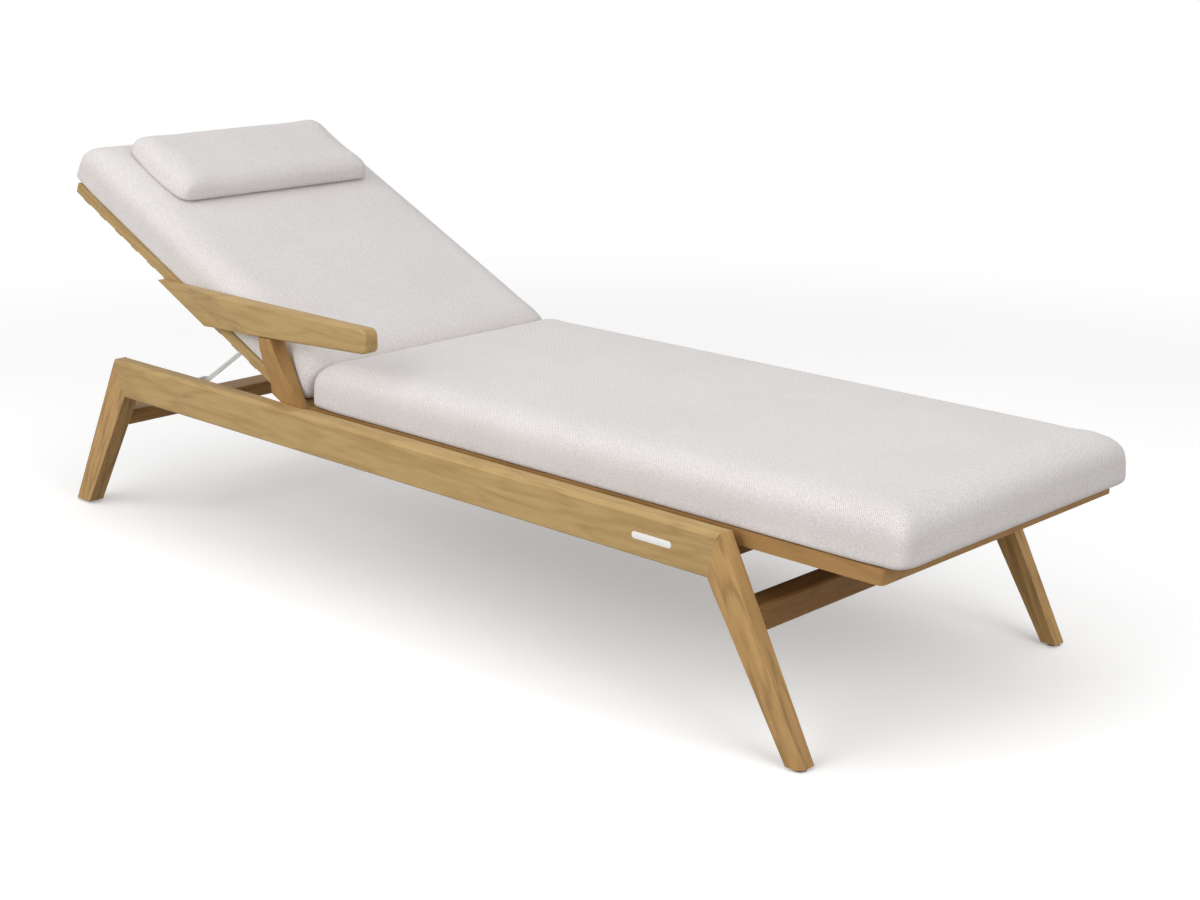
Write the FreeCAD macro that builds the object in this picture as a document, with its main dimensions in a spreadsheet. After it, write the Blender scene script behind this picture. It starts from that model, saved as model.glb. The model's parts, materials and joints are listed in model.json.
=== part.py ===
import FreeCAD, Part
import math
import os

import Sketcher
from FreeCAD import Placement, Rotation, Vector

# Sun lounger: +X points to the foot end, +Y to the sitter's left, +Z up.
# Lengths along X named with "hinge" or "from" are measured from the hinge axis of the back.
# Lengths are in millimetres and angles in degrees.

SIZES = {
    # hinge of the back and its rest angle above the horizontal
    "hinge_x": -292.85,
    "hinge_z": 307.0,
    "rest_angle": 25.0,
    "pin_diameter": 10.0,
    "pin_clearance": 0.05,
    "pin_depth_in_rail": 22.0,
    # side rails
    "overall_width": 700.0,
    "rail_thickness": 32.0,
    "rail_height": 70.0,
    "rail_top": 319.0,
    "rail_behind_hinge": 534.0,
    "rail_ahead_of_hinge": 1011.0,
    "edge_chamfer": 3.0,
    "relief_depth": 4.0,
    "relief_behind_hinge": 88.0,
    "relief_low_ahead": 19.0,
    "relief_end_ahead": 37.0,
    # legs
    "front_leg_inner_corner": 993.5,
    "front_foot_from": 1144.0,
    "front_foot_length": 28.0,
    "rear_leg_inner_corner": 499.0,
    "rear_foot_from": 655.0,
    "rear_foot_length": 52.0,
    "leg_chamfer": 7.0,
    "glide_height": 4.0,
    "glide_diameter": 22.0,
    # cross members between the side frames
    "stretcher_from": 1020.0,
    "stretcher_depth": 44.0,
    "stretcher_bottom": 173.0,
    "stretcher_height": 42.0,
    "rear_rail_behind": 597.5,
    "rear_rail_depth": 62.0,
    "rear_rail_bottom": 182.0,
    "rear_rail_height": 28.0,
    "bearer_first": 35.0,
    "bearer_pitch": 450.0,
    "bearer_count": 3.0,
    "bearer_depth": 50.0,
    "bearer_height": 28.0,
    # seat frame and its slats
    "frame_gap": 18.0,
    "seat_thickness": 24.0,
    "seat_top": 314.5,
    "seat_from": 15.0,
    "seat_to": 1262.0,
    "seat_side_width": 46.0,
    "seat_end_width": 46.0,
    "slat_rebate": 18.0,
    "slat_thickness": 12.0,
    "slat_width": 34.0,
    "seat_slat_first": 100.0,
    "seat_slat_last": 48.0,
    "seat_slat_count": 19.0,
    "corner_round": 8.0,
    # back frame, measured along the back from the hinge axis
    "back_length": 768.0,
    "back_thickness": 20.0,
    "back_side_width": 38.0,
    "back_end_width": 40.0,
    "back_foot_from": 22.0,
    "back_slat_first": 42.0,
    "back_slat_last": 12.0,
    "back_slat_width": 22.0,
    "back_slat_count": 13.0,
    "back_slat_setback": 11.0,
    # armrest and its post, level when the back rests
    "arm_outer_thickness": 13.5,
    "arm_inner_thickness": 16.5,
    "arm_top": 180.5,
    "arm_front": 215.0,
    "arm_front_height": 42.0,
    "arm_rear_height": 63.5,
    "arm_rear_behind": 198.5,
    "arm_cut_above": 19.5,
    "arm_taper_depth": 13.0,
    "arm_taper_run": 48.0,
    "post_taper_run": 84.0,
    "arm_nose_round": 13.0,
    "arm_edge_round": 5.0,
    "post_top_rear": 83.5,
    "post_top_front": 50.0,
    "post_low_rear": 71.0,
    "post_eye_ahead": 11.0,
    "post_eye_round": 9.5,
    # steel prop
    "prop_pivot_along": 250.6,
    "prop_pivot_below": 32.0,
    "prop_angle": 32.6,
    "prop_length": 217.7,
    "prop_diameter": 10.0,
    "prop_bend": 16.0,
    "prop_foot_margin": 8.0,
    "prop_foot_length": 90.0,
    "bracket_from": 222.0,
    "bracket_length": 76.0,
    "bracket_plate": 3.0,
    "bracket_width": 24.0,
    "bracket_from_arm": 50.0,
    "bracket_eye_length": 22.0,
    "bracket_eye_below": 8.0,
    # notched racks under the feet of the prop
    "rack_behind": 492.0,
    "rack_length": 200.0,
    "rack_width": 20.0,
    "rack_height": 24.5,
    "rack_clearance": 1.1,
    "notch_radius": 6.5,
    "notch_pitch": 38.0,
    "notch_count": 5.0,
    "notches_behind_rest": 1.0,
    # cushions
    "cushion_margin": 1.0,
    "cushion_height": 78.0,
    "cushion_corner": 16.0,
    "seat_cushion_from": 32.0,
    "seat_cushion_to": 1296.0,
    "back_cushion_from": 14.0,
    "back_cushion_overhang": 28.0,
    "cushion_foot_inset": 12.0,
    "cushion_side_inset": 2.5,
    "cushion_shoulder_inset": 11.0,
    "cushion_top_inset": 34.0,
    "cushion_crown_inset": 120.0,
    "cushion_crown": 4.0,
    "headrest_setback": 34.0,
    "headrest_length": 200.0,
    "headrest_margin": 68.0,
    "headrest_height": 46.0,
    "headrest_corner": 18.0,
    "headrest_side_inset": 2.0,
    "headrest_foot_inset": 10.0,
    "headrest_shoulder_inset": 8.0,
    "headrest_top_inset": 26.0,
}


class Size:
    """A number together with the sheet expression that it comes from."""

    def __init__(self, value, text):
        self.value = value
        self.text = text

    def __add__(self, other):
        other = as_size(other)
        return Size(self.value + other.value, f"({self.text} + {other.text})")

    def __sub__(self, other):
        other = as_size(other)
        return Size(self.value - other.value, f"({self.text} - {other.text})")

    def __mul__(self, other):
        other = as_size(other)
        return Size(self.value * other.value, f"({self.text} * {other.text})")

    def __truediv__(self, other):
        other = as_size(other)
        return Size(self.value / other.value, f"({self.text} / {other.text})")

    def __neg__(self):
        return Size(-self.value, f"(-1 * {self.text})")

    __radd__ = __add__
    __rmul__ = __mul__

    def __rsub__(self, other):
        return as_size(other) - self


def as_size(value):
    return value if isinstance(value, Size) else Size(float(value), repr(float(value)))


def cosine(angle):
    return Size(math.cos(math.radians(angle.value)), f"cos({angle.text} * 1 deg)")


def sine(angle):
    return Size(math.sin(math.radians(angle.value)), f"sin({angle.text} * 1 deg)")


doc = FreeCAD.newDocument("sun_lounger")
sheet = doc.addObject("Spreadsheet::Sheet", "Sizes")
size = {}
for row, (name, value) in enumerate(SIZES.items(), start=1):
    sheet.set(f"A{row}", name)
    sheet.set(f"B{row}", str(value))
    sheet.setAlias(f"B{row}", name)
    size[name] = Size(value, f"Sizes.{name}")
doc.recompute()

nodes = []


def bind(target, path, value):
    """Tie one property to the sheet."""
    target.setExpression(path, as_size(value).text)


def new_body(label, x=0.0, y=0.0, z=0.0, turn=None):
    """A body whose origin stands at x, y, z and is turned about Y."""
    body = doc.addObject("PartDesign::Body", label)
    body.Label = label
    body.AllowCompound = True
    if turn is not None:
        turn = as_size(turn)
        body.Placement = Placement(Vector(0, 0, 0), Rotation(Vector(0, 1, 0), turn.value))
        bind(body, "Placement.Rotation.Angle", turn)
    bind(body, "Placement.Base.x", x)
    bind(body, "Placement.Base.y", y)
    bind(body, "Placement.Base.z", z)
    nodes.append(body)
    return body


def base_body(label, y=0.0):
    """A body of the base, with X counted from the hinge axis."""
    return new_body(label, x=size["hinge_x"], y=y)


def back_body(label, y=0.0):
    """A body of the back, with X along the back and Z square to it."""
    return new_body(label, size["hinge_x"], y, size["hinge_z"], size["rest_angle"])


def level_body(label, y=0.0):
    """A body of the back that is drawn level, from the hinge axis."""
    return new_body(label, size["hinge_x"], y, size["hinge_z"])


def new_sketch(body, role, offset=None):
    """A sketch on an origin plane, moved along the plane's normal."""
    plane = next(item for item in body.Origin.OriginFeatures if item.Role == role)
    sketch = body.newObject("Sketcher::SketchObject", f"{body.Name}_sketch")
    sketch.AttachmentSupport = (plane, [""])
    sketch.MapMode = "FlatFace"
    if offset is not None:
        offset = as_size(offset)
        sketch.AttachmentOffset = Placement(Vector(0, 0, offset.value), Rotation())
        bind(sketch, "AttachmentOffset.Base.z", offset)
    return sketch


def fix_point(sketch, element, end, x, y):
    """Hold one point of a sketch at x, y."""
    for kind, value in (("DistanceX", as_size(x)), ("DistanceY", as_size(y))):
        index = sketch.addConstraint(Sketcher.Constraint(kind, -1, 1, element, end, value.value))
        bind(sketch, f"Constraints[{index}]", value)


def flat(point):
    return Vector(as_size(point[0]).value, as_size(point[1]).value, 0)


def draw_polygon(sketch, points):
    """A closed outline through the points."""
    count = len(points)
    first = sketch.GeometryCount
    for place in range(count):
        sketch.addGeometry(Part.LineSegment(flat(points[place]), flat(points[(place + 1) % count])), False)
    for place in range(count):
        follower = first + (place + 1) % count
        sketch.addConstraint(Sketcher.Constraint("Coincident", first + place, 2, follower, 1))
        fix_point(sketch, first + place, 1, *points[place])


def draw_circle(sketch, x, y, radius):
    radius = as_size(radius)
    element = sketch.addGeometry(Part.Circle(flat((x, y)), Vector(0, 0, 1), radius.value), False)
    fix_point(sketch, element, 3, x, y)
    index = sketch.addConstraint(Sketcher.Constraint("Radius", element, radius.value))
    bind(sketch, f"Constraints[{index}]", radius)


def draw_rounded_path(sketch, points, radius, closed):
    """Straight runs joined by quarter arcs; the runs follow the sketch axes."""
    radius = as_size(radius)
    count = len(points)
    runs = count if closed else count - 1
    rounded = [closed or 0 < place < count - 1 for place in range(count)]

    def toward(start, end):
        dx = as_size(end[0]).value - as_size(start[0]).value
        dy = as_size(end[1]).value - as_size(start[1]).value
        length = math.hypot(dx, dy)
        return round(dx / length), round(dy / length)

    ends = []
    for place in range(runs):
        start, stop = points[place], points[(place + 1) % count]
        ux, uy = toward(start, stop)
        if rounded[place]:
            start = (start[0] + radius * ux, start[1] + radius * uy)
        if rounded[(place + 1) % count]:
            stop = (stop[0] - radius * ux, stop[1] - radius * uy)
        ends.append((start, stop))
    elements = []
    for start, stop in ends:
        element = sketch.addGeometry(Part.LineSegment(flat(start), flat(stop)), False)
        fix_point(sketch, element, 1, *start)
        fix_point(sketch, element, 2, *stop)
        elements.append(element)
    for place in range(runs if closed else runs - 1):
        following = (place + 1) % runs
        start, stop = flat(ends[place][1]), flat(ends[following][0])
        corner = flat(points[(place + 1) % count])
        centre = start + stop - corner
        middle = centre + (corner - centre).normalize() * radius.value
        arc = sketch.addGeometry(Part.Arc(start, middle, stop), False)
        arc_start = sketch.Geometry[arc].StartPoint
        same_way = (arc_start - start).Length < 1e-6
        before, after = (1, 2) if same_way else (2, 1)
        sketch.addConstraint(Sketcher.Constraint("Coincident", elements[place], 2, arc, before))
        sketch.addConstraint(Sketcher.Constraint("Coincident", elements[following], 1, arc, after))
        index = sketch.addConstraint(Sketcher.Constraint("Radius", arc, radius.value))
        bind(sketch, f"Constraints[{index}]", radius)


def pad(body, sketch, length, toward_plus_y=True):
    """Thicken a sketch of the XZ plane towards +Y, or any sketch along its normal."""
    feature = body.newObject("PartDesign::Pad", f"{body.Name}_pad")
    feature.Profile = sketch
    feature.Length = as_size(length).value
    bind(feature, "Length", length)
    feature.Reversed = toward_plus_y
    body.Tip = feature
    return feature


def pocket(body, sketch, length=None, reverse=False):
    """Cut a sketch into the body, through it where no length is given."""
    feature = body.newObject("PartDesign::Pocket", f"{body.Name}_pocket")
    feature.Profile = sketch
    if length is None:
        feature.Type = "ThroughAll"
        feature.Midplane = True
    else:
        feature.Length = as_size(length).value
        bind(feature, "Length", length)
        feature.Reversed = reverse
    body.Tip = feature
    return feature


def dress(body, kind, feature, test, amount):
    """Fillet or chamfer the edges that pass a test."""
    doc.recompute()
    names = [f"Edge{place}" for place, edge in enumerate(feature.Shape.Edges, start=1) if test(edge)]
    dressed = body.newObject(f"PartDesign::{kind}", f"{body.Name}_{kind.lower()}")
    dressed.Base = (feature, names)
    path = "Radius" if kind == "Fillet" else "Size"
    setattr(dressed, path, as_size(amount).value)
    bind(dressed, path, amount)
    body.Tip = dressed
    return dressed


def repeat(body, feature, sketch, pitch, count, reverse=False):
    """A row of copies along the sketch's first axis."""
    row = body.newObject("PartDesign::LinearPattern", f"{body.Name}_row")
    row.Originals = [feature]
    row.Direction = (sketch, ["H_Axis"])
    row.Reversed = reverse
    bind(row, "Length", pitch * (count - 1))
    bind(row, "Occurrences", count)
    body.Tip = row
    return row


def prism(body, points, width, offset=None):
    """An outline of the XZ plane carried along Y."""
    sketch = new_sketch(body, "XZ_Plane", offset)
    draw_polygon(sketch, points)
    return pad(body, sketch, width)


def rectangle(x_low, x_high, z_low, z_high):
    return [(x_low, z_low), (x_high, z_low), (x_high, z_high), (x_low, z_high)]


def direction(edge):
    return (edge.Vertexes[-1].Point - edge.Vertexes[0].Point).normalize()


def along_x(edge):
    return abs(direction(edge).x) > 0.999


def along_y(edge):
    return abs(direction(edge).y) > 0.999


def along_z(edge):
    return abs(direction(edge).z) > 0.999


# Values that several pieces share
half_width = size["overall_width"] / 2
rail_inner = half_width - size["rail_thickness"]
rail_bottom = size["rail_top"] - size["rail_height"]
half_frame = rail_inner - size["frame_gap"]
half_cushion = half_frame - size["cushion_margin"]
seat_bottom = size["seat_top"] - size["seat_thickness"]
back_half = size["back_thickness"] / 2
tilt_cos = cosine(size["rest_angle"])
tilt_sin = sine(size["rest_angle"])
arm_thickness = size["arm_outer_thickness"] + size["arm_inner_thickness"]
arm_outer = half_frame + arm_thickness
pin_radius = size["pin_diameter"] / 2
bore_radius = pin_radius + size["pin_clearance"]
prop_radius = size["prop_diameter"] / 2
half_foot = rail_inner - size["prop_foot_margin"]
half_arm = half_foot - size["prop_foot_length"]
prop_x = size["prop_pivot_along"] * tilt_cos + size["prop_pivot_below"] * tilt_sin
prop_z = size["hinge_z"] + size["prop_pivot_along"] * tilt_sin - size["prop_pivot_below"] * tilt_cos
prop_foot_x = prop_x + size["prop_length"] * cosine(size["prop_angle"])
prop_foot_z = prop_z - size["prop_length"] * sine(size["prop_angle"])
rack_top = prop_foot_z - prop_radius - size["rack_clearance"]

SIDES = (("right", -1), ("left", 1))
# The one armrest stands on the right
ARM_SIDE = -1


def low_y(side, outer, thickness):
    """Lower Y of a piece whose outer face stands at a distance from the middle."""
    return -outer if side < 0 else outer - thickness


def outer_edge(edge, side, thickness):
    wanted = 0.0 if side < 0 else as_size(thickness).value
    return all(abs(vertex.Y - wanted) < 1e-4 for vertex in edge.Vertexes)


# Side rails, mitred into the legs at both ends
for word, side in SIDES:
    rail = base_body(f"side_rail_{word}", low_y(side, half_width, size["rail_thickness"]))
    outline = [
        (-size["rail_behind_hinge"], size["rail_top"]),
        (size["rail_ahead_of_hinge"], size["rail_top"]),
        (size["front_leg_inner_corner"], rail_bottom),
        (-size["rear_leg_inner_corner"], rail_bottom),
    ]
    beam = prism(rail, outline, size["rail_thickness"])

    def top_outer(edge, side=side):
        at_top = all(abs(vertex.Z - size["rail_top"].value) < 1e-4 for vertex in edge.Vertexes)
        return at_top and along_x(edge) and outer_edge(edge, side, size["rail_thickness"])

    def other_long(edge, side=side):
        at_bottom = all(abs(vertex.Z - rail_bottom.value) < 1e-4 for vertex in edge.Vertexes)
        inner = outer_edge(edge, -side, size["rail_thickness"])
        return along_x(edge) and (at_bottom or inner)

    beam = dress(rail, "Chamfer", beam, top_outer, size["leg_chamfer"])
    dress(rail, "Chamfer", beam, other_long, size["edge_chamfer"])
    relief = new_sketch(rail, "XZ_Plane")
    draw_polygon(relief, [
        (-size["relief_behind_hinge"], size["rail_top"]),
        (size["relief_low_ahead"], size["rail_top"] - size["relief_depth"]),
        (size["relief_end_ahead"], size["rail_top"]),
        (size["relief_low_ahead"], size["rail_top"] + size["relief_depth"]),
    ])
    pocket(rail, relief)
    inner_face = -size["rail_thickness"] if side < 0 else as_size(0.0)
    bore = new_sketch(rail, "XZ_Plane", inner_face)
    draw_circle(bore, 0.0, size["hinge_z"], pin_radius)
    pocket(rail, bore, size["pin_depth_in_rail"], reverse=side < 0)

# Legs: tapered, raked and chamfered along the edge that carries on from the rail's top
for word, side in SIDES:
    outer_y = low_y(side, half_width, size["rail_thickness"])
    front = base_body(f"front_leg_{word}", outer_y)
    shank = prism(front, [
        (size["front_leg_inner_corner"], rail_bottom),
        (size["rail_ahead_of_hinge"], size["rail_top"]),
        (size["front_foot_from"] + size["front_foot_length"], size["glide_height"]),
        (size["front_foot_from"], size["glide_height"]),
    ], size["rail_thickness"])

    def outer_run(edge, toe, side=side):
        at_toe = any(abs(vertex.X - toe.value) < 1e-4 for vertex in edge.Vertexes)
        runs_down = edge.Length > 2 * size["rail_height"].value
        return at_toe and runs_down and outer_edge(edge, side, size["rail_thickness"])

    front_toe = size["front_foot_from"] + size["front_foot_length"]
    dress(front, "Chamfer", shank, lambda edge: outer_run(edge, front_toe), size["leg_chamfer"])
    rear = base_body(f"rear_leg_{word}", outer_y)
    shank = prism(rear, [
        (-size["rear_leg_inner_corner"], rail_bottom),
        (-size["rear_foot_from"], size["glide_height"]),
        (-size["rear_foot_from"] - size["rear_foot_length"], size["glide_height"]),
        (-size["rail_behind_hinge"], size["rail_top"]),
    ], size["rail_thickness"])
    rear_toe = -size["rear_foot_from"] - size["rear_foot_length"]
    dress(rear, "Chamfer", shank, lambda edge: outer_run(edge, rear_toe), size["leg_chamfer"])

# Glides under the feet
glides = base_body("foot_glides")
discs = new_sketch(glides, "XY_Plane")
glide_y = half_width - size["rail_thickness"] / 2
front_glide_x = size["front_foot_from"] + size["front_foot_length"] / 2
rear_glide_x = -size["rear_foot_from"] - size["rear_foot_length"] / 2
for glide_x in (front_glide_x, rear_glide_x):
    for y in (-glide_y, glide_y):
        draw_circle(discs, glide_x, y, size["glide_diameter"] / 2)
pad(glides, discs, size["glide_height"], toward_plus_y=False)


def cross_member(label, x_low, depth, z_low, height, reach):
    """A straight rail across the lounger, eased along its length."""
    member = base_body(label, -reach)
    block = prism(member, rectangle(x_low, x_low + depth, z_low, z_low + height), reach * 2)
    dress(member, "Chamfer", block, along_y, size["edge_chamfer"])
    return member


cross_member("front_stretcher", size["stretcher_from"], size["stretcher_depth"],
             size["stretcher_bottom"], size["stretcher_height"], rail_inner)
cross_member("rear_cross_rail", -size["rear_rail_behind"], size["rear_rail_depth"],
             size["rear_rail_bottom"], size["rear_rail_height"], rail_inner)

# Racks with round notches under the feet of the prop
for word, side in SIDES:
    rack = base_body(f"prop_rack_{word}", low_y(side, rail_inner, size["rack_width"]))
    prism(rack, rectangle(-size["rack_behind"], size["rack_length"] - size["rack_behind"],
                          rack_top - size["rack_height"], rack_top), size["rack_width"])
    notch = new_sketch(rack, "XZ_Plane")
    first_notch = -prop_foot_x - size["notch_pitch"] * size["notches_behind_rest"]
    draw_circle(notch, first_notch, rack_top + size["rack_clearance"], size["notch_radius"])
    repeat(rack, pocket(rack, notch), notch, size["notch_pitch"], size["notch_count"])

# Bearers that carry the seat frame between the side rails
bearers = base_body("seat_bearers", -rail_inner)
bearer_sketch = new_sketch(bearers, "XZ_Plane")
draw_polygon(bearer_sketch, rectangle(size["bearer_first"], size["bearer_first"] + size["bearer_depth"],
                                      seat_bottom - size["bearer_height"], seat_bottom))
repeat(bearers, pad(bearers, bearer_sketch, rail_inner * 2), bearer_sketch,
       size["bearer_pitch"], size["bearer_count"])

# Seat frame: side rails rebated for the slats, between them the end rails
inner_seat = half_frame - size["seat_side_width"]
rebate_floor = size["seat_top"] - size["slat_thickness"]
for word, side in SIDES:
    runner = base_body(f"seat_side_rail_{word}", low_y(side, half_frame, size["seat_side_width"]))
    bar = prism(runner, rectangle(size["seat_from"], size["seat_to"], seat_bottom, size["seat_top"]),
                size["seat_side_width"])

    def foot_corner(edge, side=side):
        at_foot = edge.Vertexes[0].X > 0.5 * (size["seat_from"] + size["seat_to"]).value
        return along_z(edge) and at_foot and outer_edge(edge, side, size["seat_side_width"])

    dress(runner, "Fillet", bar, foot_corner, size["corner_round"])
    edge_offset = -(size["seat_side_width"] - size["slat_rebate"]) if side < 0 else as_size(0.0)
    step = new_sketch(runner, "XZ_Plane", edge_offset)
    draw_polygon(step, rectangle(size["seat_from"] + size["seat_end_width"],
                                 size["seat_to"] - size["seat_end_width"],
                                 rebate_floor, size["seat_top"]))
    pocket(runner, step, size["slat_rebate"])

for label, x_low in (("seat_head_rail", size["seat_from"]),
                     ("seat_foot_rail", size["seat_to"] - size["seat_end_width"])):
    end_rail = base_body(label, -inner_seat)
    prism(end_rail, rectangle(x_low, x_low + size["seat_end_width"], seat_bottom, size["seat_top"]),
          inner_seat * 2)

slat_reach = inner_seat + size["slat_rebate"]
seat_slats = base_body("seat_slats", -slat_reach)
slat_sketch = new_sketch(seat_slats, "XZ_Plane")
draw_polygon(slat_sketch, rectangle(size["seat_slat_first"], size["seat_slat_first"] + size["slat_width"],
                                    rebate_floor, size["seat_top"]))
slat_run = size["seat_to"] - size["seat_slat_last"] - size["slat_width"] - size["seat_slat_first"]
repeat(seat_slats, pad(seat_slats, slat_sketch, slat_reach * 2), slat_sketch,
       slat_run / (size["seat_slat_count"] - 1), size["seat_slat_count"])

# Back frame: side rails with a round eye on the hinge axis
inner_back = half_frame - size["back_side_width"]
for word, side in SIDES:
    stile = back_body(f"back_side_rail_{word}", low_y(side, half_frame, size["back_side_width"]))
    bar = prism(stile, rectangle(-size["back_length"], back_half, -back_half, back_half),
                size["back_side_width"])

    def eye_edge(edge):
        return along_y(edge) and edge.Vertexes[0].X > 0

    dress(stile, "Fillet", bar, eye_edge, back_half * 0.98)
    eye = new_sketch(stile, "XZ_Plane")
    draw_circle(eye, 0.0, 0.0, bore_radius)
    pocket(stile, eye)

for label, x_low in (("back_head_rail", -size["back_length"]),
                     ("back_foot_rail", -size["back_foot_from"] - size["back_end_width"])):
    end_rail = back_body(label, -inner_back)
    prism(end_rail, rectangle(x_low, x_low + size["back_end_width"], -back_half, back_half),
          inner_back * 2)

slat_half = half_frame - size["back_slat_setback"]
slat_low = -back_half - size["slat_thickness"]
back_slats = back_body("back_slats", -slat_half)
slat_sketch = new_sketch(back_slats, "XZ_Plane")
first_slat = -size["back_slat_first"] - size["back_slat_width"]
slat_run = size["back_length"] - size["back_slat_last"] + first_slat
draw_polygon(slat_sketch, rectangle(first_slat, first_slat + size["back_slat_width"], slat_low, -back_half))
repeat(back_slats, pad(back_slats, slat_sketch, slat_half * 2), slat_sketch,
       slat_run / (size["back_slat_count"] - 1), size["back_slat_count"], reverse=True)

# Armrest and its post, in two layers: the outer layer stops above the side rail when the back
# lies flat, the inner layer runs down beside the back frame
arm_bottom_front = size["arm_top"] - size["arm_front_height"]
arm_bottom_rear = size["arm_top"] - size["arm_rear_height"]
arm_slope = (arm_bottom_front - arm_bottom_rear) / (size["arm_front"] + size["arm_rear_behind"])


def arm_underside(x):
    return arm_bottom_rear + arm_slope * (x + size["arm_rear_behind"])


def at_cut(height, above):
    """X at a height where the plane parallel to the back, at a distance above it, passes."""
    return (above - height * tilt_cos) / tilt_sin


def underside_cut(above):
    """The point of the armrest's underside on that plane."""
    level = arm_bottom_rear + arm_slope * size["arm_rear_behind"]
    x = (above - level * tilt_cos) / (tilt_sin + arm_slope * tilt_cos)
    return (x, level + arm_slope * x)


def arm_outline(above):
    return [
        (at_cut(size["arm_top"], above), size["arm_top"]),
        underside_cut(above),
        (size["arm_front"], arm_bottom_front),
        (size["arm_front"], size["arm_top"]),
    ]


post_rear_top = (-size["post_top_rear"], arm_underside(-size["post_top_rear"]))
post_front_top = (-size["post_top_front"], arm_underside(-size["post_top_front"]))


def on_back(along, above):
    """A point given along the back and above it, in level coordinates."""
    return (above * tilt_sin - along * tilt_cos, above * tilt_cos + along * tilt_sin)


post_rear_low = on_back(size["post_low_rear"], -back_half)
post_eye_top = on_back(-size["post_eye_ahead"], back_half)
post_eye_low = on_back(-size["post_eye_ahead"], -back_half)


def where_cut(start, stop, above):
    """Where the run from start to stop crosses the plane parallel to the back."""
    start_height = start[0] * tilt_sin + start[1] * tilt_cos
    stop_height = stop[0] * tilt_sin + stop[1] * tilt_cos
    share = (start_height - above) / (start_height - stop_height)
    return (start[0] + (stop[0] - start[0]) * share, start[1] + (stop[1] - start[1]) * share)


post_full = [post_rear_top, post_front_top, post_eye_top, post_eye_low, post_rear_low]
post_short = [
    post_rear_top,
    post_front_top,
    where_cut(post_front_top, post_eye_top, size["arm_cut_above"]),
    where_cut(post_rear_top, post_rear_low, size["arm_cut_above"]),
]


def layered(body, side, outer_points, inner_points):
    """Two outlines side by side, the first on the outer side."""
    layers = [(outer_points, size["arm_outer_thickness"]), (inner_points, size["arm_inner_thickness"])]
    if side > 0:
        layers.reverse()
    (first_points, first_width), (second_points, second_width) = layers
    prism(body, first_points, first_width)
    return prism(body, second_points, second_width, -first_width)


arm_y = low_y(ARM_SIDE, arm_outer, arm_thickness)
arm = level_body("armrest", arm_y)
blank = layered(arm, ARM_SIDE, arm_outline(size["arm_cut_above"]), arm_outline(-back_half))


def cut_edge(edge):
    """The outer layer's edge along the plane above the back."""
    on_plane = all(abs(point.X * tilt_sin.value + point.Z * tilt_cos.value - size["arm_cut_above"].value) < 1e-3
                   for point in edge.Vertexes)
    return on_plane and outer_edge(edge, ARM_SIDE, arm_thickness)


def taper(body, feature, run):
    """Thin the outer layer down to its cut edge."""
    thinned = dress(body, "Chamfer", feature, cut_edge, size["arm_taper_depth"])
    thinned.ChamferType = "Two distances"
    thinned.Size2 = run.value
    bind(thinned, "Size2", run)
    return thinned


def nose_edge(edge):
    return along_y(edge) and edge.Vertexes[0].X > size["arm_front"].value - 1e-3


def top_edge(edge):
    on_top = all(vertex.Z > size["arm_top"].value - 1e-3 for vertex in edge.Vertexes)
    return along_x(edge) and on_top and edge.Length > size["arm_front"].value


nose = dress(arm, "Fillet", taper(arm, blank, size["arm_taper_run"]), nose_edge, size["arm_nose_round"])
dress(arm, "Fillet", nose, top_edge, size["arm_edge_round"])

post = level_body("arm_post", arm_y)
blank = layered(post, ARM_SIDE, post_short, post_full)


def eye_corner(edge):
    low = edge.Vertexes[0].Z < back_half.value
    return along_y(edge) and low and edge.Vertexes[0].X > 0


rounded = dress(post, "Fillet", blank, eye_corner, size["post_eye_round"])
wedge = new_sketch(post, "YZ_Plane")
wedge_low = post_short[2][1]
draw_polygon(wedge, [
    (-size["arm_taper_depth"], wedge_low + size["post_taper_run"] * 2),
    (-size["arm_taper_depth"], wedge_low),
    (size["arm_taper_depth"], wedge_low),
])
pocket(post, wedge)
eye = new_sketch(post, "XZ_Plane")
draw_circle(eye, 0.0, 0.0, bore_radius)
pocket(post, eye)

# Hinge pins, held in the side rails
pins = new_body("hinge_pins", size["hinge_x"], 0.0, size["hinge_z"])
pin_sketch = new_sketch(pins, "XZ_Plane", inner_back)
draw_circle(pin_sketch, 0.0, 0.0, pin_radius)
near_pin = pad(pins, pin_sketch, rail_inner + size["pin_depth_in_rail"] - inner_back, toward_plus_y=False)
both_pins = pins.newObject("PartDesign::Mirrored", "hinge_pins_pair")
both_pins.Originals = [near_pin]
both_pins.MirrorPlane = (next(item for item in pins.Origin.OriginFeatures if item.Role == "XZ_Plane"), [""])
pins.Tip = both_pins

# Brackets under the back slats that hold the prop
brackets = back_body("prop_brackets")
plate_low = slat_low - size["bracket_plate"]
eye_middle = -size["prop_pivot_below"]
eye_low = eye_middle - prop_radius - size["bracket_eye_below"] / 2
eye_centre = -size["prop_pivot_along"]
outline = [
    (-size["bracket_from"] - size["bracket_length"], slat_low),
    (-size["bracket_from"] - size["bracket_length"], plate_low),
    (eye_centre - size["bracket_eye_length"] / 2, plate_low),
    (eye_centre - size["bracket_eye_length"] / 2, eye_low),
    (eye_centre + size["bracket_eye_length"] / 2, eye_low),
    (eye_centre + size["bracket_eye_length"] / 2, plate_low),
    (-size["bracket_from"], plate_low),
    (-size["bracket_from"], slat_low),
]
near_bracket = prism(brackets, outline, size["bracket_width"], half_arm - size["bracket_from_arm"])
pair = brackets.newObject("PartDesign::Mirrored", "prop_brackets_pair")
pair.Originals = [near_bracket]
pair.MirrorPlane = (next(item for item in brackets.Origin.OriginFeatures if item.Role == "XZ_Plane"), [""])
brackets.Tip = pair
eye = new_sketch(brackets, "XZ_Plane")
draw_circle(eye, eye_centre, eye_middle, prop_radius + size["pin_clearance"])
pocket(brackets, eye)

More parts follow.
